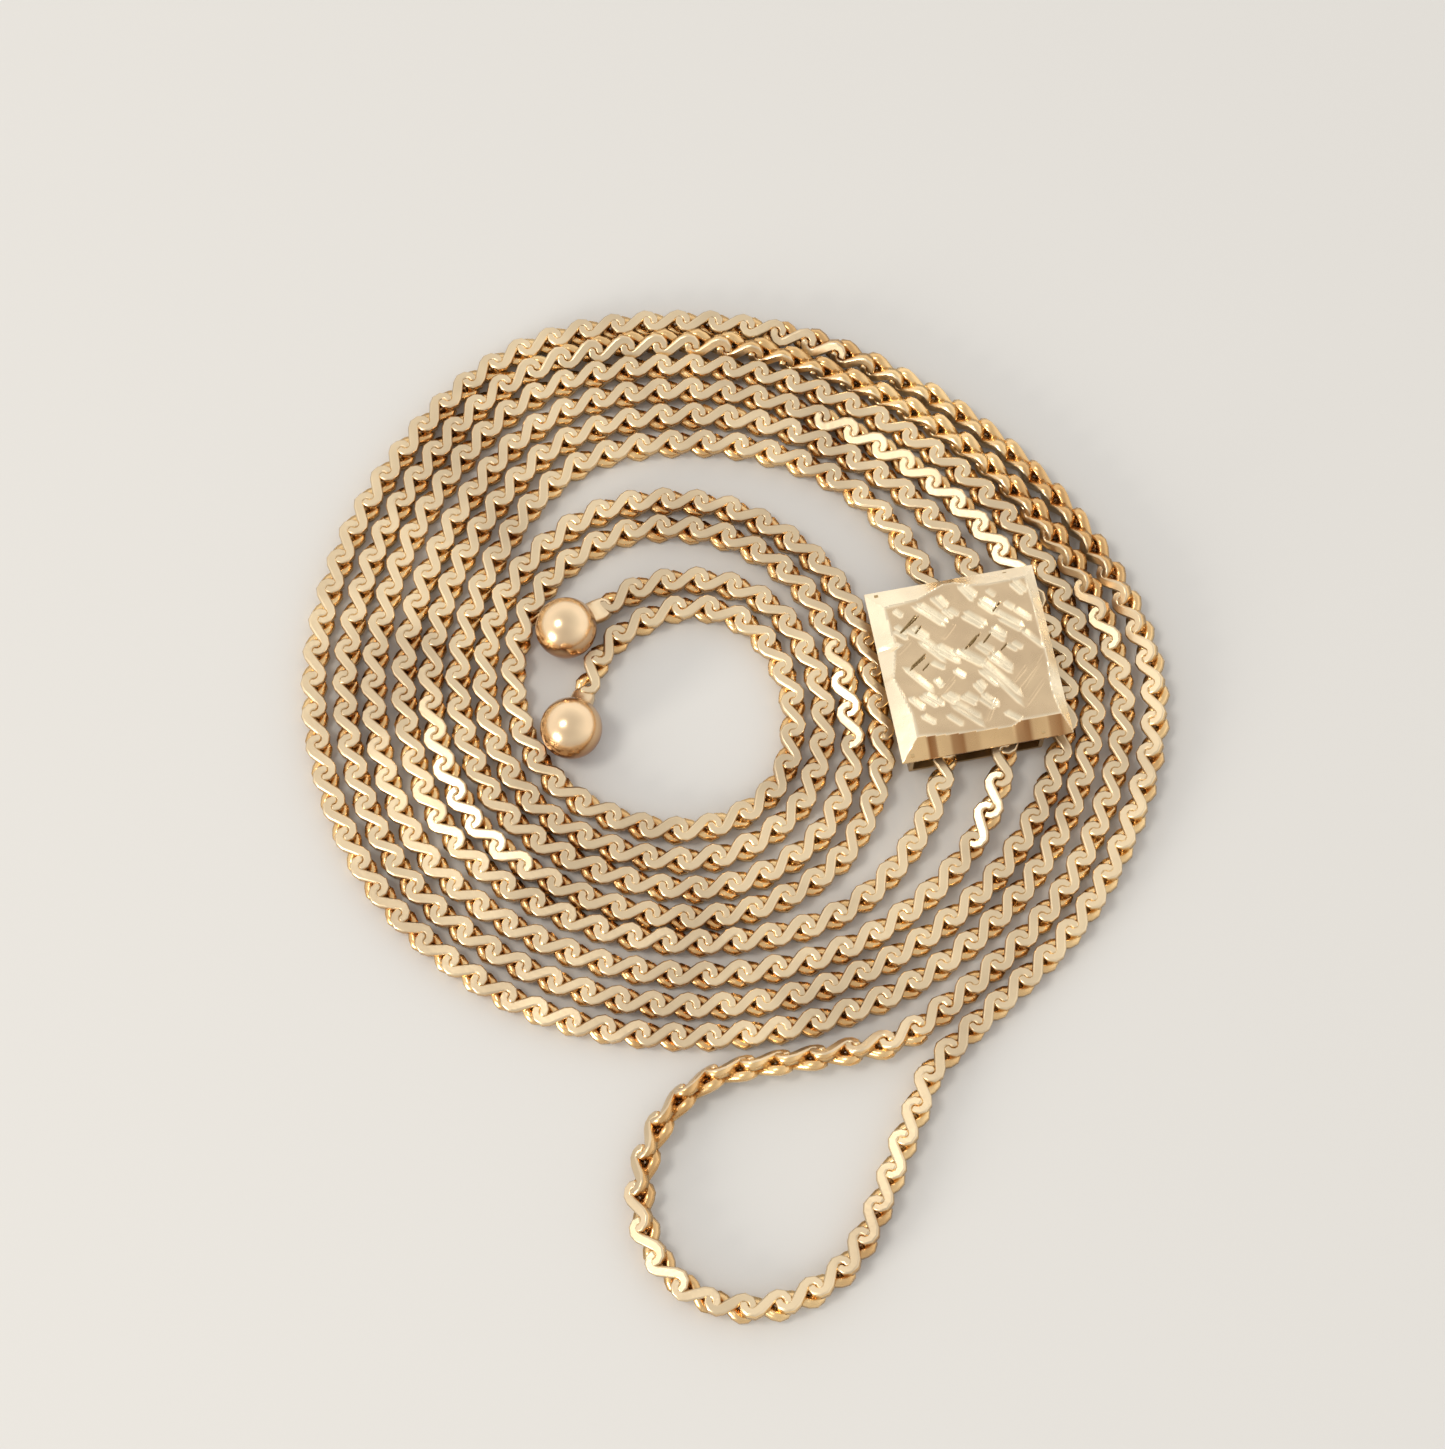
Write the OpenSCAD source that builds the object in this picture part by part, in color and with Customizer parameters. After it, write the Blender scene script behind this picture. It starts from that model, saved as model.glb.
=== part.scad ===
// Eyeglasses chain strap: one long serpentine chain, doubled, wound into a flat coil.
// Its two ends carry balls, its fold is the loop, and a square slide grips both strands.

/* [Chain] */
// Distance from one link to the next
link_pitch = 2.2; // [2:0.05:2.6]
// Width of a link's wire, seen from above
wire_w = 0.4; // [0.34:0.01:0.46]
// Height of one of the two layers of wire in a link
wire_t = 0.54; // [0.4:0.01:0.6]
// Gap between the two layers of wire
layer_gap = 0.16; // [0.1:0.01:0.3]
// Play between a hook and the end of the next link
hook_play = 0.17; // [0.12:0.01:0.22]

/* [Ball ends] */
// Diameter of a ball
ball_d = 4; // [3:0.1:5]
// Diameter of the stub of wire soldered to an end link
stub_d = 0.5; // [0.4:0.05:0.7]
// Diameter of a ball's cap where it meets the chain
cap_tip_d = 1.1; // [0.9:0.05:1.5]
// Diameter of a ball's cap where it meets the ball
cap_foot_d = 1.6; // [1.2:0.05:2.2]
// Diameter of the peg that holds the cap in the ball
peg_d = 0.9; // [0.6:0.05:1.2]
// Depth of the peg in the ball
peg_depth = 1.2; // [0.8:0.1:1.8]
// Radial clearance of a peg or a stub in its bore
fit_gap = 0.02; // [0.01:0.01:0.05]

/* [Slide] */
// Width of the cover, across the strands
cover_w = 11.2; // [10.6:0.1:12.4]
// Length of the cover, along the strands
cover_l = 11.9; // [11:0.1:13]
// Height of the cover's lower edge above the table
cover_z = 2.35; // [2.2:0.05:2.8]
// Height of the cover's plain edge below its bevel
cover_edge = 0.2; // [0.1:0.05:0.4]
// Height of the cover's bevel
bevel_h = 0.6; // [0.4:0.05:0.9]
// Width of the cover's bevel
bevel_w = 0.85; // [0.5:0.05:1.2]
// Depth of the pocket under the cover
pocket_h = 0.35; // [0.2:0.05:0.4]
// Width of the tray, outside
tray_w = 8.8; // [8.6:0.1:9.2]
// How far the tray sits left of the cover's middle
tray_shift = 0.6; // [0.4:0.1:0.8]
// Length of the tray
tray_l = 11.4; // [10:0.1:11.6]
// Thickness of the tray's sheet
tray_t = 0.25; // [0.2:0.05:0.35]
// Thickness of the divider between the strands
divider_t = 0.4; // [0.3:0.05:0.5]
// Length of the divider
divider_l = 4; // [3:0.5:5]
// Width of a friction spring
spring_w = 2.4; // [1.5:0.1:2.8]
// Length of a friction spring
spring_l = 8; // [6:0.5:9]
// Thickness of a friction spring
spring_t = 0.2; // [0.1:0.05:0.3]
// Clearance between the strands and what they run past in the slide
strand_gap = 0.05; // [0.03:0.01:0.1]

/* [Hidden] */
$fn = 48;

// The coil. Each row is one turn, clockwise from 10 o'clock to 9 o'clock, and each
// number is how far that strand lies from the middle of the coil at that hour.
coil_at = [-0.89, 6.61];
first_hour = 150;
outer_turns = [
    [9.7, 8.75, 7.65, 6.85, 6.25, 6.55, 7.6, 9.6, 11.35, 12.65, 14.4, 15.3],
    [15.7, 14.95, 13.1, 11.35, 10.25, 10, 11.85, 14.05, 15.3, 16.35, 18.1, 18.8],
    [19.45, 20.75, 19.75, 18.8, 18.6, 18.6, 19.25, 19.15, 19.15, 20.15, 21.9, 22.5],
    [23.2, 24.75, 23.4, 22.25, 22.8, 24.2, 23.6, 23.1, 23.1, 24.4, 25.65, 26.4],
    [26.9, 28.15, 26.7, 25.5, 26.2, 28.2, 27.6, 28]
];
inner_turns = [
    [7.7, 6.6, 5.65, 4.85, 4.3, 4.6, 5.45, 7.45, 9.2, 10.65, 12.4, 13.45],
    [13.8, 12.95, 11.1, 9.35, 8.25, 8.2, 9.8, 11.95, 13.4, 14.4, 16.2, 17.05],
    [17.5, 18.8, 17.75, 16.9, 15.6, 14.6, 15.8, 16.9, 17, 18.05, 19.9, 20.55],
    [21.2, 22.75, 21.6, 20.45, 20.95, 22.5, 21.75, 21.05, 21.15, 22.25, 23.75, 24.35],
    [25, 26.5, 25.05, 23.9, 24.45, 26.15, 25.7, 25.7]
];
// The loop, from the outer strand's end at 5 o'clock round to the inner strand's.
loop_points = [
    [12.55, -26.9], [11.2, -30], [9.75, -33.8], [7.6, -37.6], [3.85, -39.8], [0, -39.8],
    [-3.25, -37.8], [-4.8, -34.45], [-4.65, -31.3], [-3.1, -27.9], [-0.05, -25.6], [4.5, -24.75],
    [9.05, -23.9]
];
// Where the chain ends, near each ball, and where the balls lie.
upper_end = [-7.4, 6.05];
lower_end = [-8.7, 0.15];
lower_bend = [-8, 2.15];
upper_ball_at = [-10, 3.9];
lower_ball_at = [-9.55, -3.05];
// The slide's place on the coil, at 3 o'clock of the third turn.
slide_at = [16, 1.25];
slide_turn = 11;
slide_hour = 29;
// Where the divider and the two strands lie, right of the cover's middle.
divider_x = 0.25;
left_strand_x = -1.75;
right_strand_x = 2.2;

hook_r = wire_w + hook_play;
hook_x = (link_pitch - hook_r) / 2;
tip_x = hook_x + hook_r;
lean = asin(hook_r / hook_x);
chain_h = 2 * wire_t + layer_gap;
strand_lift = tray_t + strand_gap;
cover_top = cover_z + cover_edge + bevel_h;
pocket_z = cover_z + pocket_h;
ball_r = ball_d / 2;
gold = "goldenrod";
rosy_gold = "peru";
brass = "darkgoldenrod";

function at_hours(rows) = let (all = [for (row = rows) each row])
    [for (i = [0:len(all) - 1]) all[i] * [cos(first_hour - 30 * i), sin(first_hour - 30 * i)]];
function tail_of(list, from) = [for (i = [from:len(list) - 1]) list[i]];
function backwards(list) = [for (i = [len(list) - 1:-1:0]) list[i]];

outer_route = concat([upper_end], tail_of(at_hours(outer_turns), 1));
inner_route = concat([lower_end, lower_bend], at_hours(inner_turns));
route = concat(outer_route, loop_points, backwards(inner_route));
last = len(route) - 1;
outer_slide_at = slide_hour;
inner_slide_at = last - 2 - slide_hour;
loop_from = len(outer_route) - 1;
loop_to = loop_from + len(loop_points) + 1;

// A smooth curve through the route's points, where c counts the points.
function curve(a, b, c, d, t) = b + t / 2 * ((c - a) + t * ((2 * a - 5 * b + 4 * c - d)
    + t * (3 * (b - c) + d - a)));
function along(c) = let (i = min(floor(c), last - 1))
    curve(route[max(i - 1, 0)], route[i], route[i + 1], route[min(i + 2, last)], c - i);
// The strands climb onto the slide's tray: full height to a, and none from b, in hours.
function climb(hours, a = 0.85, b = 2.2) = let (u = min(max((b - hours) / (b - a), 0), 1))
    u * u * (3 - 2 * u);
function height(c) = chain_h / 2
    + strand_lift * max(climb(abs(c - outer_slide_at)), climb(abs(c - inner_slide_at)));
function place(c) = let (p = along(c) + coil_at) [p[0], p[1], height(c)];

steps = 6;
samples = [for (i = [0:last * steps]) place(i / steps)];
gone = [for (i = 0, s = 0; i <= last * steps;
    s = s + (i < last * steps ? norm(samples[i + 1] - samples[i]) : 0), i = i + 1) s];
chain_length = gone[last * steps];
links = round(chain_length / link_pitch);
spacing = chain_length / links;
function ways(axis) = [for (i = [0:last * steps]) [gone[i], samples[i][axis]]];
ways_x = ways(0);
ways_y = ways(1);
ways_z = ways(2);
// Joint k is where link k - 1 holds link k.
joints = [for (k = [0:links]) let (s = k * spacing)
    [lookup(s, ways_x), lookup(s, ways_y), lookup(s, ways_z)]];
function joint_near(c) = round(gone[round(c * steps)] / spacing);

tail_links = 4;
loop_links = 2;
outer_cuts = [tail_links, joint_near(11), joint_near(23), joint_near(35), joint_near(47),
    joint_near(loop_from)];
inner_cuts = [links - tail_links, joint_near(last - 13), joint_near(last - 25),
    joint_near(last - 37), joint_near(last - 49), joint_near(loop_to)];

module arm() {
    difference() {
        translate([hook_x, 0]) circle(r = hook_r + wire_w / 2);
        translate([hook_x, 0]) circle(r = hook_r - wire_w / 2);
        translate([hook_x, 0]) polygon([[0, 0], [link_pitch, 0], [link_pitch, -link_pitch],
            [-link_pitch, -link_pitch], 2 * link_pitch * [-sin(lean), cos(lean)]]);
    }
    translate([tip_x, 0]) circle(d = wire_w);
    rotate(lean) translate([0, -wire_w / 2]) square([hook_x * cos(lean), wire_w]);
}

module layer() {
    linear_extrude(wire_t) {
        arm();
        rotate(180) arm();
    }
}

// One link: an S above, its mirror image below, and a post at each end.
module link() {
    translate([0, 0, layer_gap / 2]) layer();
    mirror([0, 1, 0]) translate([0, 0, -layer_gap / 2 - wire_t]) layer();
    for (side = [-1, 1])
        translate([side * tip_x, 0, -(layer_gap + wire_t) / 2])
            cylinder(d = wire_w * 0.9, h = layer_gap + wire_t);
}

module link_at(k) {
    way = joints[k + 1] - joints[k];
    translate((joints[k] + joints[k + 1]) / 2)
        rotate([0, -asin(way[2] / norm(way)), atan2(way[1], way[0])]) link();
}

module strand(from, to) {
    color(gold) for (k = [min(from, to):max(from, to) - 1]) link_at(k);
}

module loop_hinge_links(stage) {
    strand(outer_cuts[5] + stage - 1, outer_cuts[5] + stage);
    strand(inner_cuts[5] - stage, inner_cuts[5] - stage + 1);
}

// Turns +X to point from one place to another.
module aim(from, to) {
    way = to - from;
    translate(from) rotate([0, -asin(way[2] / norm(way)), atan2(way[1], way[0])])
        children();
}

// The ball's middle, the end of the end link, and the length of cap that shows.
function ball_middle(at) = [at[0] + coil_at[0], at[1] + coil_at[1], ball_r];
cap_l = 0.9;
stub_in = 0.5;

module along_x(d, from, to) {
    translate([from, 0, 0]) rotate([0, 90, 0]) cylinder(d = d, h = to - from);
}

module ball(at, end) {
    color(rosy_gold) difference() {
        translate(ball_middle(at)) sphere(r = ball_r);
        aim(ball_middle(at), end)
            along_x(peg_d + 2 * fit_gap, ball_r - peg_depth - fit_gap, ball_r + 1);
    }
}

module ball_cap(at, end) {
    foot = sqrt(pow(ball_r, 2) - pow(cap_foot_d / 2, 2)) + 0.1;
    color(brass) aim(ball_middle(at), end) difference() {
        union() {
            along_x(peg_d, ball_r - peg_depth, foot + 0.2);
            translate([foot, 0, 0]) rotate([0, 90, 0])
                cylinder(d1 = cap_foot_d, d2 = cap_tip_d, h = ball_r + cap_l - foot);
        }
        translate([0, 0, 0]) sphere(r = ball_r + fit_gap, $fn = 96);
        along_x(stub_d + 2 * fit_gap, ball_r + cap_l - stub_in - fit_gap, ball_r + cap_l + 1);
    }
}

module end_link(k, at, end) {
    color(gold) {
        link_at(k);
        aim(ball_middle(at), end)
            along_x(stub_d, ball_r + cap_l - stub_in, norm(end - ball_middle(at)));
    }
}

module on_slide() {
    translate([slide_at[0] + coil_at[0], slide_at[1] + coil_at[1], 0])
        rotate(slide_turn) children();
}

module slab(w, l, h) {
    translate([-w / 2, -l / 2, 0]) cube([w, l, h]);
}

module on_tray() {
    on_slide() translate([-tray_shift, 0, 0]) children();
}

module slide_cover() {
    color(gold) on_slide() difference() {
        hull() {
            translate([0, 0, cover_z]) slab(cover_w, cover_l, cover_edge);
            translate([0, 0, cover_top - 0.01])
                slab(cover_w - 2 * bevel_w, cover_l - 2 * bevel_w, 0.01);
        }
        translate([-tray_shift, 0, cover_z - 1])
            slab(tray_w + 2 * fit_gap, tray_l + 2 * fit_gap, pocket_h + 1);
    }
}

module slide_tray() {
    color(brass) on_tray() {
        slab(tray_w, tray_l, tray_t);
        for (side = [-1, 1])
            translate([side * (tray_w - tray_t) / 2, 0, 0]) slab(tray_t, tray_l, pocket_z);
    }
}

module slide_divider() {
    color(brass) on_slide()
        translate([divider_x, 0, tray_t]) slab(divider_t, divider_l, pocket_z - tray_t);
}

// A bowed strip: its ends bear on the cover and its middle presses towards the strand.
module slide_spring(side) {
    fall = pocket_z - strand_lift - chain_h - strand_gap - spring_t;
    bow_r = (pow(spring_l / 2, 2) + pow(fall, 2)) / (2 * fall);
    half = asin(spring_l / 2 / bow_r);
    middle = side < 0 ? left_strand_x : right_strand_x;
    color(brass) on_slide()
        translate([middle - spring_w / 2, 0, pocket_z - fall - spring_t + bow_r + spring_t])
            rotate([0, 90, 0]) rotate(-half) rotate_extrude(angle = 2 * half, $fn = 96)
                translate([bow_r, 0]) square([spring_t, spring_w]);
}

strand(outer_cuts[0], outer_cuts[1]);  // outer_strand_turn_1
strand(outer_cuts[1], outer_cuts[2]);  // outer_strand_turn_2
strand(outer_cuts[2], outer_cuts[3]);  // outer_strand_turn_3
strand(outer_cuts[3], outer_cuts[4]);  // outer_strand_turn_4
strand(outer_cuts[4], outer_cuts[5]);  // outer_strand_turn_5
strand(inner_cuts[0], inner_cuts[1]);  // inner_strand_turn_1
strand(inner_cuts[1], inner_cuts[2]);  // inner_strand_turn_2
strand(inner_cuts[2], inner_cuts[3]);  // inner_strand_turn_3
strand(inner_cuts[3], inner_cuts[4]);  // inner_strand_turn_4
strand(inner_cuts[4], inner_cuts[5]);  // inner_strand_turn_5
loop_hinge_links(1);  // loop_hinge_links_1
loop_hinge_links(2);  // loop_hinge_links_2
strand(outer_cuts[5] + loop_links, inner_cuts[5] - loop_links);  // loop_strand
ball(upper_ball_at, joints[0]);  // upper_ball
ball_cap(upper_ball_at, joints[0]);  // upper_ball_cap
end_link(0, upper_ball_at, joints[0]);  // upper_end_link
strand(1, 2);  // upper_tail_link_1
strand(2, 3);  // upper_tail_link_2
strand(3, 4);  // upper_tail_link_3
ball(lower_ball_at, joints[links]);  // lower_ball
ball_cap(lower_ball_at, joints[links]);  // lower_ball_cap
end_link(links - 1, lower_ball_at, joints[links]);  // lower_end_link
strand(links - 2, links - 1);  // lower_tail_link_1
strand(links - 3, links - 2);  // lower_tail_link_2
strand(links - 4, links - 3);  // lower_tail_link_3
slide_cover();
slide_tray();
slide_divider();
slide_spring(-1);  // slide_spring_left
slide_spring(1);  // slide_spring_right
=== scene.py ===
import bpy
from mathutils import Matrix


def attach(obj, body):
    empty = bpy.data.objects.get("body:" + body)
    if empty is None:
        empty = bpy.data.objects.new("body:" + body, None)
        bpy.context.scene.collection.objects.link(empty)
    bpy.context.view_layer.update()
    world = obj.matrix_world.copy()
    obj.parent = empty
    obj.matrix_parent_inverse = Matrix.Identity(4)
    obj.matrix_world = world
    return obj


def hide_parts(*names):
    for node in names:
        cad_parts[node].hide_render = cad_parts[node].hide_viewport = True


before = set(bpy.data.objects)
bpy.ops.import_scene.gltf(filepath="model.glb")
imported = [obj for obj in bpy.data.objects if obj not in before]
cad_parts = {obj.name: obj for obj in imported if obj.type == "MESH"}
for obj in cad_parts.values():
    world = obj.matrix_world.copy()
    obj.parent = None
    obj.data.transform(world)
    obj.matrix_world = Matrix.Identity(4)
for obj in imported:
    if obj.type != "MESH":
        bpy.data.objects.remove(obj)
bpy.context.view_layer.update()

import math
import random

import bmesh
import bpy
from mathutils import Matrix, Vector

mm = 0.001

# The camera. The photograph was taken by hand from just in front of the coil and well
# above it, so the coil is seen almost flat, with its near edge a little larger.
view_elevation = 69.4
view_lens = 77.14
view_sensor = 36.0
camera_data = bpy.data.cameras.new("camera")
camera_data.sensor_fit = "AUTO"
camera_data.sensor_width = view_sensor
camera_data.lens = view_lens
camera_data.clip_start = 0.01
camera_data.dof.use_dof = False
camera = bpy.data.objects.new("camera", camera_data)
camera.location = (-0.73 * mm, -66.34 * mm, 188.62 * mm)
camera.rotation_euler = (math.radians(90 - view_elevation), 0, 0)
bpy.context.collection.objects.link(camera)
bpy.context.scene.camera = camera
bpy.context.view_layer.update()

# The floor and the light. The jeweller's cloth of the photograph becomes a plain pale floor
# in a soft white room, darker in front where the camera stands and a little darker overhead.
# The two lamps stand where the balls' highlights place them.
floor_mesh = bmesh.new()
bmesh.ops.create_grid(floor_mesh, x_segments=1, y_segments=1, size=1.5,
                      matrix=Matrix.Translation((0, 0, -0.00005)))
floor_data = bpy.data.meshes.new("floor")
floor_mesh.to_mesh(floor_data)
floor_mesh.free()
floor = bpy.data.objects.new("floor", floor_data)
bpy.context.collection.objects.link(floor)

floor_paint = bpy.data.materials.new("pale_floor")
floor_paint.use_nodes = True
floor_shader = floor_paint.node_tree.nodes["Principled BSDF"]
floor_shader.inputs["Base Color"].default_value = (0.62, 0.61, 0.59, 1)
floor_shader.inputs["Roughness"].default_value = 0.9
floor_shader.inputs["Specular IOR Level"].default_value = 0.1
floor_data.materials.append(floor_paint)

world = bpy.data.worlds.new("studio")
world.use_nodes = True
sky_nodes, sky_links = world.node_tree.nodes, world.node_tree.links
sky_nodes["Background"].inputs["Color"].default_value = (1, 0.98, 0.96, 1)
sky_way = sky_nodes.new("ShaderNodeTexCoord")
sky_split = sky_nodes.new("ShaderNodeSeparateXYZ")
sky_links.new(sky_way.outputs["Generated"], sky_split.inputs["Vector"])
sky_height = sky_nodes.new("ShaderNodeMapRange")
sky_height.inputs["From Min"].default_value = 0.5
sky_height.inputs["From Max"].default_value = 0.97
sky_height.inputs["To Min"].default_value = 1.15
sky_height.inputs["To Max"].default_value = 0.74
sky_links.new(sky_split.outputs["Z"], sky_height.inputs["Value"])
sky_front = sky_nodes.new("ShaderNodeMapRange")
sky_front.inputs["From Min"].default_value = -0.9
sky_front.inputs["From Max"].default_value = -0.3
sky_front.inputs["To Min"].default_value = 0.62
sky_links.new(sky_split.outputs["Y"], sky_front.inputs["Value"])
sky_light = sky_nodes.new("ShaderNodeMath")
sky_light.operation = "MULTIPLY"
sky_links.new(sky_height.outputs["Result"], sky_light.inputs[0])
sky_links.new(sky_front.outputs["Result"], sky_light.inputs[1])
sky_links.new(sky_light.outputs["Value"], sky_nodes["Background"].inputs["Strength"])
bpy.context.scene.world = world


def soft_lamp(name, place, size, watts, colour):
    lamp_data = bpy.data.lights.new(name, "AREA")
    lamp_data.shape = "RECTANGLE"
    lamp_data.size = size[0]
    lamp_data.size_y = size[1]
    lamp_data.energy = watts
    lamp_data.color = colour
    lamp = bpy.data.objects.new(name, lamp_data)
    lamp.location = place
    lamp.rotation_euler = (-Vector(place)).to_track_quat("-Z", "Y").to_euler()
    bpy.context.collection.objects.link(lamp)


soft_lamp("high_lamp", (-0.36, -0.03, 0.66), (0.2, 0.2), 1.5, (1, 0.96, 0.88))
soft_lamp("low_lamp", (-0.53, -0.42, 0.17), (0.2, 0.2), 3, (1, 0.96, 0.88))

# The links. Each is bent of thick gold wire into an S above and its mirror image below, one
# ring that is rolled flat on its top and bottom and hooked round its neighbours' tips.
link_pitch = 2.2
hook_radius = 0.54
hook_reach = (link_pitch - hook_radius) / 2
wire_section = [(-0.21, 0.25), (0.21, 0.25), (0.34, 0.15), (0.32, -0.38), (-0.32, -0.38), (-0.34, 0.15)]


def hook_point(angle, width, height=0.38):
    turn = math.radians(angle)
    place = Vector((hook_reach + hook_radius * math.cos(turn), hook_radius * math.sin(turn), height))
    return place, width


half_way = [hook_point(-30, 0.46, 0.32), hook_point(-15, 0.73), hook_point(20, 0.78),
            hook_point(57, 0.83), hook_point(96, 0.92), hook_point(134.4, 1)]
other_half = [(Vector((-place.x, -place.y, place.z)), width) for place, width in reversed(half_way)]
s_way = half_way + other_half

link_shape = bmesh.new()
hoops = []
for i, (place, width) in enumerate(s_way):
    ahead = s_way[min(i + 1, len(s_way) - 1)][0] - s_way[max(i - 1, 0)][0]
    side = Vector((0, 0, 1)).cross(ahead).normalized()
    hoop = bmesh.ops.create_circle(link_shape, cap_ends=False, segments=len(wire_section),
                                   radius=1)["verts"]
    for vert, (across, rise) in zip(hoop, wire_section):
        vert.co = place + side * across * width + Vector((0, 0, rise))
    hoops.append([e for e in link_shape.edges if all(v in hoop for v in e.verts)])
for one, two in zip(hoops, hoops[1:]):
    bmesh.ops.bridge_loops(link_shape, edges=one + two)
for end in (hoops[0], hoops[-1]):
    bmesh.ops.edgeloop_fill(link_shape, edges=end)
upper_s = link_shape.verts[:] + link_shape.edges[:] + link_shape.faces[:]
mirrored = bmesh.ops.duplicate(link_shape, geom=upper_s)
bmesh.ops.rotate(link_shape, matrix=Matrix.Rotation(math.pi, 3, "X"),
                 verts=[v for v in mirrored["geom"] if isinstance(v, bmesh.types.BMVert)])
bmesh.ops.recalc_face_normals(link_shape, faces=link_shape.faces)
# Faces that look up, the flats and their shoulders, take the paler satin gold as painted light; the other
# faces take the deeper polished gold as painted shade.
for face in link_shape.faces:
    flat = abs(face.normal.z) > 0.97 and abs(face.calc_center_median().z) > 0.5
    painted_light_face = abs(face.normal.z) > 0.6 and abs(face.calc_center_median().z) > 0.5
    face.smooth = not flat
    face.material_index = 0 if painted_light_face else 1
bmesh.ops.scale(link_shape, vec=(mm, mm, mm), verts=link_shape.verts)
link_data = bpy.data.meshes.new("link")
link_shape.to_mesh(link_data)
link_shape.free()

# The chain's way. It is the same round coil, loop and tails as in the CAD model, in
# millimetres here, and each link lies along one step of it.
coil_at = Vector((-0.89, 6.61))
first_hour = 150
outer_turns = [
    9.7, 8.75, 7.65, 6.85, 6.25, 6.55, 7.6, 9.6, 11.35, 12.65, 14.4, 15.3,
    15.7, 14.95, 13.1, 11.35, 10.25, 10, 11.85, 14.05, 15.3, 16.35, 18.1, 18.8,
    19.45, 20.75, 19.75, 18.8, 18.6, 18.6, 19.25, 19.15, 19.15, 20.15, 21.9, 22.5,
    23.2, 24.75, 23.4, 22.25, 22.8, 24.2, 23.6, 23.1, 23.1, 24.4, 25.65, 26.4,
    26.9, 28.15, 26.7, 25.5, 26.2, 28.2, 27.6, 28]
inner_turns = [
    7.7, 6.6, 5.65, 4.85, 4.3, 4.6, 5.45, 7.45, 9.2, 10.65, 12.4, 13.45,
    13.8, 12.95, 11.1, 9.35, 8.25, 8.2, 9.8, 11.95, 13.4, 14.4, 16.2, 17.05,
    17.5, 18.8, 17.75, 16.9, 15.6, 14.6, 15.8, 16.9, 17, 18.05, 19.9, 20.55,
    21.2, 22.75, 21.6, 20.45, 20.95, 22.5, 21.75, 21.05, 21.15, 22.25, 23.75, 24.35,
    25, 26.5, 25.05, 23.9, 24.45, 26.15, 25.7, 25.7]
loop_points = [
    (12.55, -26.9), (11.2, -30), (9.75, -33.8), (7.6, -37.6), (3.85, -39.8), (0, -39.8),
    (-3.25, -37.8), (-4.8, -34.45), (-4.65, -31.3), (-3.1, -27.9), (-0.05, -25.6), (4.5, -24.75),
    (9.05, -23.9)]
upper_end = (-7.4, 6.05)
lower_end = (-8.7, 0.15)
lower_bend = (-8, 2.15)
slide_hour = 29
lifted = 0.3
chain_half = 0.62


def at_hours(row):
    hours = [math.radians(first_hour - 30 * i) for i in range(len(row))]
    return [(far * math.cos(hour), far * math.sin(hour)) for far, hour in zip(row, hours)]


outer_way = [upper_end] + at_hours(outer_turns)[1:]
inner_way = [lower_end, lower_bend] + at_hours(inner_turns)
whole_way = [Vector(p) for p in outer_way + loop_points + inner_way[::-1]]
way_end = len(whole_way) - 1


def along(count):
    i = min(math.floor(count), way_end - 1)
    a, b, c, d = [whole_way[max(0, min(way_end, i + n))] for n in (-1, 0, 1, 2)]
    t = count - i
    return b + t / 2 * ((c - a) + t * ((2 * a - 5 * b + 4 * c - d) + t * (3 * (b - c) + d - a)))


def climb(hours):
    share = min(max((2.2 - hours) / 1.35, 0), 1)
    return share * share * (3 - 2 * share)


def way_place(count):
    flat = along(count) + coil_at
    rise = max(climb(abs(count - slide_hour)), climb(abs(count - way_end + 2 + slide_hour)))
    return Vector((flat.x, flat.y, chain_half + lifted * rise))


samples = [way_place(i / 6) for i in range(way_end * 6 + 1)]
gone = [0]
for one, two in zip(samples, samples[1:]):
    gone.append(gone[-1] + (two - one).length)
link_count = round(gone[-1] / link_pitch)
step = gone[-1] / link_count
joints = []
sample = 0
for k in range(link_count + 1):
    while sample < len(gone) - 2 and gone[sample + 1] < k * step:
        sample += 1
    share = (k * step - gone[sample]) / (gone[sample + 1] - gone[sample])
    joints.append(samples[sample].lerp(samples[sample + 1], min(share, 1)))


def joint_near(count):
    return round(gone[round(count * 6)] / step)


# Where a strand rolls over as it is bent, in degrees at each counted link. It stands on its
# edge at the coil's upper right and at the loop's left, and tips a little where it flashes.
rolls = [
    (0, 0), (40, 0), (42, -10), (46, -10), (48, 0), (57, 0), (59, -10), (61, -12), (64, -8), (66, 0),
    (78, 0), (79, 9), (81, 9), (82, 0), (94, 0), (96, 13), (97, 13), (98, 0), (209, 0), (210, 10),
    (211, 35), (213, 70), (215, 88), (220, 92), (222, 78), (224, 50), (226, 32), (228, 24), (232, 14),
    (235, 5), (239, 0), (243, 12), (250, 14), (251, 4), (252, -12), (253, -19), (254, -25), (256, -48),
    (258, -62), (262, -55), (265, -25), (267, 0), (277, 0), (279, -10), (281, -35), (283, -65),
    (285, -85), (292, -92), (294, -80), (296, -58), (299, -42), (301, -22), (303, 0), (348, 0),
    (349, -17), (355, -18), (357, -14), (358, 0), (378, 0), (380, 9), (381, 9), (383, 0),
    (443, 0), (444, -15), (445, -18), (446, -13), (447, 0), (484, 0)]


def roll_at(k):
    for (one, low), (two, high) in zip(rolls, rolls[1:]):
        if one <= k <= two:
            return low + (high - low) * (k - one) / (two - one)
    return 0


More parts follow.
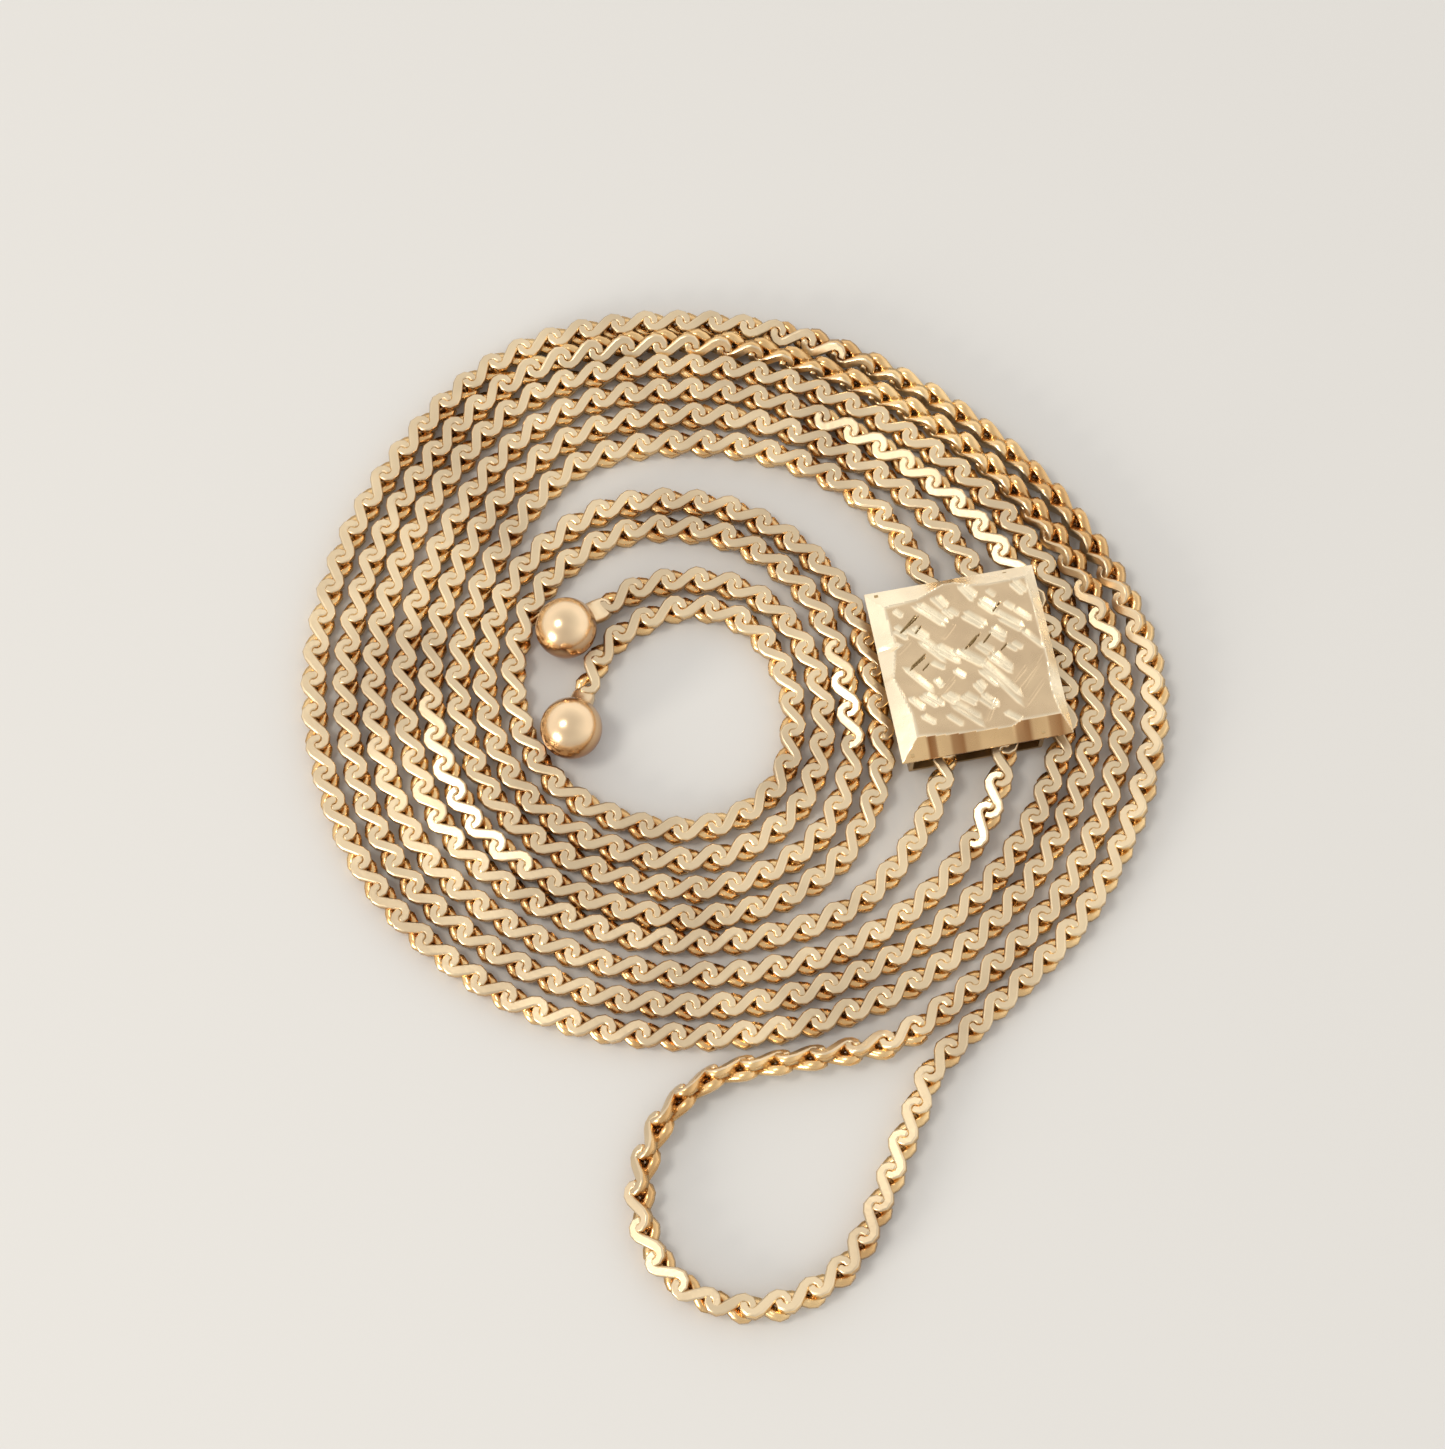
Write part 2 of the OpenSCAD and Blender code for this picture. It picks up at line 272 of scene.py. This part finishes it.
# How far a few of the flashing links nod forwards, in degrees.
nods = {95: 7, 96: 13, 97: 12, 444: -4, 445: -10}
half_link_width = 0.84
chain_random = random.Random(7)
link_frames = []
for k in range(link_count):
    way = joints[k + 1] - joints[k]
    sway = 2 * math.sin(k * 0.31) + 1.5 * math.sin(k * 0.083 + 1)
    roll = math.radians(roll_at(k) + sway + chain_random.uniform(-2, 2))
    pitch = math.radians(nods.get(k, 0) + 2 * math.sin(k * 0.19) + chain_random.uniform(-1.5, 1.5))
    rise = abs(math.sin(roll)) * half_link_width + abs(math.cos(roll)) * chain_half - chain_half
    middle = (joints[k] + joints[k + 1]) / 2 + Vector((0, 0, rise))
    turn = way.to_track_quat("X", "Z").to_matrix().to_4x4()
    link_frames.append(Matrix.Translation(middle * mm) @ turn @ Matrix.Rotation(roll, 4, "X")
                       @ Matrix.Rotation(pitch, 4, "Y"))


# The gold of the chain. Gold-filled wire, satin on its rolled flats, polished on its sides,
# with a faint brown bloom that comes and goes along the coil.
def gold(name, colour, tarnish, roughness, grain, grain_depth, bloom_scale=120):
    finish = bpy.data.materials.new(name)
    finish.use_nodes = True
    nodes, links = finish.node_tree.nodes, finish.node_tree.links
    shader = nodes["Principled BSDF"]
    shader.inputs["Metallic"].default_value = 1
    place = nodes.new("ShaderNodeTexCoord")
    bloom = nodes.new("ShaderNodeTexNoise")
    bloom.inputs["Scale"].default_value = bloom_scale
    bloom.inputs["Detail"].default_value = 3
    links.new(place.outputs["Object"], bloom.inputs["Vector"])
    shade = nodes.new("ShaderNodeValToRGB")
    shade.color_ramp.elements[0].position = 0.38
    shade.color_ramp.elements[0].color = (*tarnish, 1)
    shade.color_ramp.elements[1].position = 0.62
    shade.color_ramp.elements[1].color = (*colour, 1)
    links.new(bloom.outputs["Fac"], shade.inputs["Fac"])
    links.new(shade.outputs["Color"], shader.inputs["Base Color"])
    fine = nodes.new("ShaderNodeTexNoise")
    fine.inputs["Scale"].default_value = grain
    fine.inputs["Detail"].default_value = 4
    links.new(place.outputs["Object"], fine.inputs["Vector"])
    polish = nodes.new("ShaderNodeMapRange")
    polish.inputs["To Min"].default_value = roughness[0]
    polish.inputs["To Max"].default_value = roughness[1]
    links.new(fine.outputs["Fac"], polish.inputs["Value"])
    links.new(polish.outputs["Result"], shader.inputs["Roughness"])
    bump = nodes.new("ShaderNodeBump")
    bump.inputs["Strength"].default_value = 1
    bump.inputs["Distance"].default_value = grain_depth
    links.new(fine.outputs["Fac"], bump.inputs["Height"])
    links.new(bump.outputs["Normal"], shader.inputs["Normal"])
    return finish


# Besides their real satin and polished roughness, the flats' paler, greyer gold is painted light and the
# sides' deeper orange gold is painted shade.
satin_flat_painted_light = gold("satin_flat_painted_light", (0.86, 0.69, 0.45), (0.66, 0.52, 0.34), (0.28, 0.42), 4200, 0.000008)
polished_side_painted_shade = gold("polished_side_painted_shade", (0.88, 0.62, 0.31), (0.66, 0.4, 0.17), (0.2, 0.32), 2600, 0.000005)


def chain_piece(name, parts, body, nodes):
    shape = bmesh.new()
    for k in parts:
        before = len(shape.verts)
        shape.from_mesh(link_data)
        shape.verts.ensure_lookup_table()
        bmesh.ops.transform(shape, matrix=link_frames[k], verts=shape.verts[before:])
    data = bpy.data.meshes.new(name)
    shape.to_mesh(data)
    shape.free()
    data.materials.append(satin_flat_painted_light)
    data.materials.append(polished_side_painted_shade)
    piece = bpy.data.objects.new(name, data)
    bpy.context.collection.objects.link(piece)
    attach(piece, body)
    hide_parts(*nodes)
    return piece


# The coil. Both strands lie side by side and are threaded through the slide in their third
# turn; each turn of each strand is one length of links.
loop_from = len(outer_way) - 1
loop_to = loop_from + len(loop_points) + 1
tail_links = 4
outer_cuts = [tail_links] + [joint_near(count) for count in (11, 23, 35, 47, loop_from)]
inner_cuts = [link_count - tail_links, joint_near(way_end - 13), joint_near(way_end - 25),
              joint_near(way_end - 37), joint_near(way_end - 49), joint_near(loop_to)]
for turn in range(5):
    outer_parts = range(outer_cuts[turn], outer_cuts[turn + 1])
    inner_parts = range(inner_cuts[turn + 1], inner_cuts[turn])
    chain_piece(f"outer_turn_{turn + 1}", outer_parts, "coil",
                                    [f"outer_strand_turn_{turn + 1}"])
    chain_piece(f"inner_turn_{turn + 1}", inner_parts, "coil",
                                    [f"inner_strand_turn_{turn + 1}"])

# The fold loop. The chain's middle hangs out of the coil as a pear-shaped loop; the first
# two links of each leg are where it lifts.
for stage in (1, 2):
    leg_parts = [outer_cuts[5] + stage - 1, inner_cuts[5] - stage]
    chain_piece(f"loop_legs_{stage}", leg_parts, f"loop_links_{stage}",
                                    [f"loop_hinge_links_{stage}"])
fold_parts = range(outer_cuts[5] + 2, inner_cuts[5] - 2)
chain_piece("fold_loop", fold_parts, "loop", ["loop_strand"])

# The tails. Three free links and one soldered end link lead to each ball, each of them a ring
# like the rest of the chain.
for n in (1, 2, 3):
    chain_piece(f"upper_tail_{n}_ring", [n], f"upper_tail_{n}",
                                    [f"upper_tail_link_{n}"])
    chain_piece(f"lower_tail_{n}_ring", [link_count - 1 - n], f"lower_tail_{n}",
                                    [f"lower_tail_link_{n}"])
chain_piece("upper_end_ring", [0], "upper_end", ["upper_end_link"])
chain_piece("lower_end_ring", [link_count - 1], "lower_end", ["lower_end_link"])

# The balls. Each is a pair of polished half shells in a pinker gold, soldered together, with a
# painted dark reddish-brown reflection that begins a little above its middle and covers its whole
# lower half. Its flattened cap is run into the end link with solder.
ball_radius = 2.0
ball_gold = gold("ball_gold", (0.87, 0.66, 0.42), (0.79, 0.58, 0.36), (0.18, 0.26), 700, 0.000012, 260)
solder_gold = gold("solder_gold", (0.86, 0.68, 0.44), (0.74, 0.58, 0.38), (0.26, 0.38), 1800, 0.00002, 500)


def ball_piece(name, flat_place, body, node):
    middle = Vector((flat_place[0] + coil_at.x, flat_place[1] + coil_at.y, ball_radius))
    shape = bmesh.new()
    bmesh.ops.create_uvsphere(shape, u_segments=72, v_segments=36, radius=ball_radius * mm,
                              matrix=Matrix.Translation(middle * mm) @ Matrix.Rotation(1.2, 4, "X"))
    for face in shape.faces:
        face.smooth = True
    data = bpy.data.meshes.new(name)
    shape.to_mesh(data)
    shape.free()
    data.materials.append(ball_gold)
    piece = bpy.data.objects.new(name, data)
    bpy.context.collection.objects.link(piece)
    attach(piece, body)
    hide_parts(node)
    return middle


# Painted dark reflection: the ball's colour turns dark reddish brown from a little above its middle
# downwards.
ball_nodes, ball_links = ball_gold.node_tree.nodes, ball_gold.node_tree.links
ball_place = ball_nodes.new("ShaderNodeTexCoord")
ball_height = ball_nodes.new("ShaderNodeSeparateXYZ")
ball_links.new(ball_place.outputs["Object"], ball_height.inputs[0])
ball_painted_reflection_mask = ball_nodes.new("ShaderNodeMapRange")
ball_painted_reflection_mask.inputs["From Min"].default_value = 0.0034
ball_painted_reflection_mask.inputs["From Max"].default_value = 0.002
ball_links.new(ball_height.outputs["Z"], ball_painted_reflection_mask.inputs["Value"])
ball_painted_reflection_mix = ball_nodes.new("ShaderNodeMix")
ball_painted_reflection_mix.data_type = "RGBA"
ball_painted_reflection_mix.inputs[7].default_value = (0.36, 0.16, 0.05, 1)
ball_shader = ball_nodes["Principled BSDF"]
ball_links.new(ball_painted_reflection_mask.outputs["Result"], ball_painted_reflection_mix.inputs[0])
ball_links.new(ball_shader.inputs["Base Color"].links[0].from_socket, ball_painted_reflection_mix.inputs[6])
ball_links.new(ball_painted_reflection_mix.outputs[2], ball_shader.inputs["Base Color"])

upper_middle = ball_piece("upper_ball_shell", (-10, 3.9), "upper_end", "upper_ball")
lower_middle = ball_piece("lower_ball_shell", (-9.55, -3.05), "lower_end", "lower_ball")


def cap_piece(name, middle, end, beyond, width, body, node):
    way = Vector((end.x - middle.x, end.y - middle.y, 0)).normalized()
    side = Vector((-way.y, way.x, 0))
    shape = bmesh.new()
    rings = []
    for far, half, low, high in ((1.5, 0.8, 1.0, 2.15), (2.0, 0.84, 0.72, 1.75), (2.5, width, 0.4, 1.36),
                                 (3.0, width * 0.95, 0.12, 1.2), (2.95 + beyond, width * 0.6, 0.15, 1.12)):
        ring = bmesh.ops.create_circle(shape, cap_ends=False, segments=12, radius=1)["verts"]
        for i, vert in enumerate(ring):
            turn = math.radians(30 * i + 15)
            across = half * math.copysign(abs(math.cos(turn)) ** 0.7, math.cos(turn))
            rise = math.copysign(abs(math.sin(turn)) ** 0.6, math.sin(turn)) * (high - low) / 2
            vert.co = (middle + way * far + side * across) * mm
            vert.co.z = ((high + low) / 2 + rise) * mm
        rings.append([e for e in shape.edges if all(v in ring for v in e.verts)])
    for one, two in zip(rings, rings[1:]):
        bmesh.ops.bridge_loops(shape, edges=one + two)
    bmesh.ops.holes_fill(shape, edges=[e for e in shape.edges if e.is_boundary], sides=0)
    bmesh.ops.recalc_face_normals(shape, faces=shape.faces)
    for face in shape.faces:
        face.smooth = True
    data = bpy.data.meshes.new(name)
    shape.to_mesh(data)
    shape.free()
    data.materials.append(solder_gold)
    piece = bpy.data.objects.new(name, data)
    smooth = piece.modifiers.new("rounded", "SUBSURF")
    smooth.levels = smooth.render_levels = 2
    bpy.context.collection.objects.link(piece)
    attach(piece, body)
    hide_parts(node)


cap_piece("upper_cap_solder", upper_middle, joints[0], 0.8, 0.86, "upper_end", "upper_ball_cap")
cap_piece("lower_cap_solder", lower_middle, joints[-1], 0.3, 0.8, "lower_end", "lower_ball_cap")

# The slide's cover. A stamped square of gold-filled sheet with a hand-cut bevel round a satin
# plateau, engraved with slanting gouges and a few dark scratches across them. The gouges and the
# left, back and right bevels are painted paler as a painted highlight, and some facets of the front
# bevel are painted brown as a painted dark reflection.
slide_middle = Vector((16 + coil_at.x, 1.25 + coil_at.y, 0))
slide_turn = math.radians(11)
cover_w, cover_l = 11.2, 11.9
rim_low, rim_high, plateau = 2.35, 2.5, 3.12
on_slide = Matrix.Translation(slide_middle * mm) @ Matrix.Rotation(slide_turn, 4, "Z")

# Each stroke has its middle right of and behind the cover's middle, its turn in degrees,
# its length and its width.
bright_gouges = [
    (-1.5, 3.3, -42, 2.6, 0.5), (-1, 4.2, -58, 1.1, 0.6), (1, 4.5, -55, 1.3, 0.6),
    (-0.5, 3.4, -50, 0.9, 0.5), (0.75, 2.75, -44, 1.9, 0.5), (-2.2, 1.2, -48, 2.2, 0.45),
    (0, 0.25, -42, 2.1, 0.5), (1.8, -2, -58, 3.6, 0.6), (-3.3, -1, -52, 2.3, 0.35),
    (-4.1, -2.2, -48, 1.3, 0.25), (-0.75, -3.7, -48, 2.6, 0.4), (-0.5, -2.7, -42, 1.1, 0.45),
    (3.2, 2, -42, 2.1, 0.4), (4, 2.5, -45, 1.3, 0.3), (2.3, 1.3, -44, 1.3, 0.55),
    (3.1, 0.3, -42, 0.9, 0.5), (4.3, 0.7, -52, 1.8, 0.25), (2, -0.6, -50, 2, 0.45),
    (0.9, -1.4, -56, 1.6, 0.3), (4.3, 4.2, -58, 1.3, 0.4), (3.3, 3.2, -45, 0.9, 0.3),
    (-3.5, -3.5, -46, 1.3, 0.3), (1.8, -4.3, -36, 1.5, 0.35), (0.3, -2, -58, 0.8, 0.4),
    (-2, -0.1, -38, 1.2, 0.35), (-2.3, -1.2, -60, 0.8, 0.3), (-3.8, 3.9, -45, 0.9, 0.25),
    (2.4, 4.2, -50, 0.9, 0.25), (-0.8, -0.9, -50, 1, 0.25), (-1.8, -3.9, -45, 1.2, 0.25),
    (-3.9, 2.6, -44, 1.1, 0.4), (-2.9, 2.4, -44, 1.4, 0.5), (2, 3.4, -46, 1.4, 0.5),
    (-1.2, 0.6, -40, 1.5, 0.5), (1.2, 0.5, -44, 1.2, 0.5), (-2.9, -2.4, -46, 1.4, 0.4),
    (0.5, -3, -46, 1.4, 0.5), (-1.7, -2.4, -44, 1.1, 0.4)]
dark_scratches = [
    (-3.3, 3.1, 37, 1.6, 0.13), (-3.3, 0.4, 35, 1.5, 0.13), (0.55, 1.2, 43, 1.3, 0.12),
    (1.45, 1.2, 41, 0.9, 0.11), (2.5, 3.2, 40, 1, 0.1), (2.4, 0.4, 41, 0.8, 0.09),
    (-2.8, 2.6, 40, 0.8, 0.08), (-2.7, 0.1, 38, 0.8, 0.08)]
faint_gouges = [
    (-1.9, -1.6, 40, 1.6, 0.4), (3.7, -1.8, 44, 2.2, 0.3), (3.7, -3, 46, 2.3, 0.3),
    (0.8, -3.5, 56, 1.9, 0.3), (3, -1.6, 44, 1.6, 0.25), (-3.9, 1.6, 40, 1.2, 0.3),
    (-0.9, 2.1, 42, 1.2, 0.3), (4.3, -0.9, 48, 1.4, 0.25)]


# A gouge is several cuts of a ribbed chisel side by side, of slightly different reach.
cut_random = random.Random(31)


def feathered(strokes, rib, slopes):
    cuts = []
    for u, v, turn, length, width in strokes:
        count = max(1, round(width * 1.3 / rib))
        for i in range(count):
            off = (i - (count - 1) / 2) * rib
            slip = cut_random.uniform(-0.16, 0.16) * length
            lean = math.radians(turn)
            cut_u = u - off * math.sin(lean) + slip * math.cos(lean)
            cut_v = v + off * math.cos(lean) + slip * math.sin(lean)
            cut_turn = turn + cut_random.uniform(-4, 4)
            cut_length = length * cut_random.uniform(0.95, 1.3)
            cuts.append((cut_u, cut_v, cut_turn, cut_length, rib * 1.7, cut_random.uniform(*slopes)))
    return cuts


bright_cuts = feathered(bright_gouges, 0.32, (0.08, 0.17))
faint_cuts = feathered(faint_gouges, 0.16, (0.06, 0.16))
dark_cuts = feathered(dark_scratches, 0.1, (0.5, 0.6))


def stroke_share(stroke, u, v):
    middle_u, middle_v, turn, length, width, slope = stroke
    if abs(u - middle_u) + abs(v - middle_v) > length:
        return 0
    lean = math.radians(turn)
    run = (u - middle_u) * math.cos(lean) + (v - middle_v) * math.sin(lean)
    if abs(run) > length / 2:
        return 0
    across = (v - middle_v) * math.cos(lean) - (u - middle_u) * math.sin(lean)
    taper = width * min(1, (1 - abs(run) / length * 2) * 3)
    if across <= -taper * 0.3 or across >= taper * 0.7:
        return 0
    share = 1 - across / (taper * 0.7) if across > 0 else 1 + across / (taper * 0.3)
    return share * taper * slope


def engraving(u, v):
    bright = max(stroke_share(stroke, u, v) for stroke in bright_cuts)
    faint = max(stroke_share(stroke, u, v) for stroke in faint_cuts)
    dark = max(stroke_share(stroke, u, v) for stroke in dark_cuts)
    # Painted highlight: the bright cuts make the plateau's colour paler and creamier; the dark scratches
    # make it olive.
    gouge_painted_highlight = min(1, bright * 24)
    soil = min(1, dark * 16)
    satin = Vector((0.88, 0.86, 0.84))
    painted_highlight_tone = Vector((1.11, 1.25, 1.4))
    olive = Vector((0.26, 0.22, 0.13))
    tint = satin.lerp(painted_highlight_tone, gouge_painted_highlight).lerp(olive, soil)
    return bright + faint + dark, tint


# How wide the bevel is along each side, from left to right and from front to back.
left_bevel = [
    (-6, 1.3), (-2.9, 1.2), (-1.7, 0.95), (-0.35, 0.6), (1.5, 1.05), (1.8, 1.55), (2.1, 1.15),
    (4.5, 1), (6, 0.9)]
right_bevel = [(-6, 0.55), (-4.7, 0.6), (-2.8, 0.8), (-1, 0.62), (3, 0.65), (5, 0.75), (6, 0.75)]
back_bevel = [
    (-6, 1.5), (-4.6, 1.35), (-2.4, 1.2), (-0.5, 0.5), (0.2, 0.5), (1.2, 0.85), (2.4, 1), (6, 0.95)]
front_bevel = [(-6, 1.5), (-4.4, 1.4), (-2.2, 1.15), (0.2, 1), (1.7, 0.95), (2.5, 1.25), (6, 1.2)]
# How brown the front bevel's facets are painted as a painted dark reflection, from left to right.
front_facets = [
    (-6, 0.1), (-3.9, 0.1), (-3.7, 0.9), (-3.3, 0.75), (-3.15, 0.1), (-2.4, 0.15), (-2.2, 0.65),
    (-1.5, 0.8), (-1.3, 0.35), (-0.6, 0.3), (-0.3, 0.1), (1.8, 0.15), (2, 0.6), (2.8, 0.8),
    (3.1, 0.25), (4, 0.2), (4.2, 0.6), (4.9, 0.8), (5.2, 0.4), (6, 0.3)]


def read_along(bevel, run):
    for (one, low), (two, high) in zip(bevel, bevel[1:]):
        if run <= two:
            return low + (high - low) * (run - one) / (two - one)
    return bevel[-1][1]


def cover_place(u, v):
    shares = [(cover_w / 2 + u) / read_along(left_bevel, v),
              (cover_w / 2 - u) / read_along(right_bevel, v),
              (cover_l / 2 - v) / read_along(back_bevel, u),
              (cover_l / 2 + v) / read_along(front_bevel, u)]
    share = min(shares)
    # Painted highlight: the left, back and right bevels and the plateau's rim take a paler cream colour.
    # The front bevel takes a plainer gold, painted brown on some facets as a painted dark reflection.
    bevel_painted_highlight = Vector((1.08, 1.2, 1.35))
    if share < 1:
        in_front = shares[3] == share
        brown = read_along(front_facets, u) if in_front else 0
        edge = Vector((1, 0.9, 0.72)) if in_front else bevel_painted_highlight
        return (rim_high + (plateau - rim_high) * share - 0.1 * brown * share * (1 - share),
                edge.lerp(Vector((0.3, 0.12, 0.03)), brown))
    depth, tint = engraving(u, v)
    fade = min(1, (share - 1) * 6)
    swell = 0.035 * math.sin(u * 1.9 + v * 1.3) * math.sin(v * 1.7 - u * 0.9)
    return plateau - 0.04 - (depth - swell) * fade, bevel_painted_highlight.lerp(tint, fade)


cover_shape = bmesh.new()
bmesh.ops.create_grid(cover_shape, x_segments=160, y_segments=170, size=0.5)
tint_layer = cover_shape.verts.layers.float_color.new("tint")
for vert in cover_shape.verts:
    u, v = vert.co.x * cover_w, vert.co.y * cover_l
    height, tint = cover_place(u, v)
    vert[tint_layer] = (*tint, 1)
    vert.co = Vector((u, v, height))


def fold_on(edges):
    fold = bmesh.ops.extrude_edge_only(cover_shape, edges=edges)["geom"]
    hem = [part for part in fold if isinstance(part, bmesh.types.BMEdge) and part.is_boundary]
    return [part for part in fold if isinstance(part, bmesh.types.BMVert)], hem


lip_inset = 0.955
ceiling = 2.5
rim, hem = fold_on([e for e in cover_shape.edges if e.is_boundary])
for vert in rim:
    vert.co.z = rim_low
lip, hem = fold_on(hem)
for vert in lip:
    vert.co.x *= lip_inset
    vert.co.y *= lip_inset
roof, hem = fold_on(hem)
for vert in roof:
    vert.co.z = ceiling
bmesh.ops.holes_fill(cover_shape, edges=[e for e in cover_shape.edges if e.is_boundary], sides=0)
bmesh.ops.recalc_face_normals(cover_shape, faces=cover_shape.faces)
bmesh.ops.scale(cover_shape, vec=(mm, mm, mm), verts=cover_shape.verts)
bmesh.ops.transform(cover_shape, matrix=on_slide, verts=cover_shape.verts)
for face in cover_shape.faces:
    face.smooth = False
cover_data = bpy.data.meshes.new("engraved_cover")
cover_shape.to_mesh(cover_data)
cover_shape.free()
cover_gold = gold("cover_gold", (0.9, 0.7, 0.45), (0.8, 0.61, 0.39), (0.22, 0.34), 1500, 0.000015, 300)
cover_nodes, cover_links = cover_gold.node_tree.nodes, cover_gold.node_tree.links
# The tint attribute carries the painted highlights, the painted dark reflections of the front facets and
# the olive of the scratches into the cover's gold.
tint_read = cover_nodes.new("ShaderNodeAttribute")
tint_read.attribute_name = "tint"
tinted = cover_nodes.new("ShaderNodeMix")
tinted.data_type = "RGBA"
tinted.blend_type = "MULTIPLY"
tinted.inputs[0].default_value = 1
cover_shader = cover_nodes["Principled BSDF"]
cover_links.new(cover_shader.inputs["Base Color"].links[0].from_socket, tinted.inputs[6])
cover_links.new(tint_read.outputs["Color"], tinted.inputs[7])
cover_links.new(tinted.outputs[2], cover_shader.inputs["Base Color"])
cover_data.materials.append(cover_gold)
cover = bpy.data.objects.new("engraved_cover", cover_data)
bpy.context.collection.objects.link(cover)
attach(cover, "slide")
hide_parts("slide_cover")

# The slide's tray, divider and springs. They stay as the CAD has them, in duller brass that
# the years have darkened where no hand polishes it.
tray_brass = gold("tray_brass", (0.66, 0.47, 0.24), (0.45, 0.3, 0.14), (0.25, 0.4), 900, 0.00002, 400)
for node in ("slide_tray", "slide_divider", "slide_spring_left", "slide_spring_right"):
    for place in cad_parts[node].material_slots:
        place.material = tray_brass


bpy.context.scene.view_settings.view_transform = "Standard"
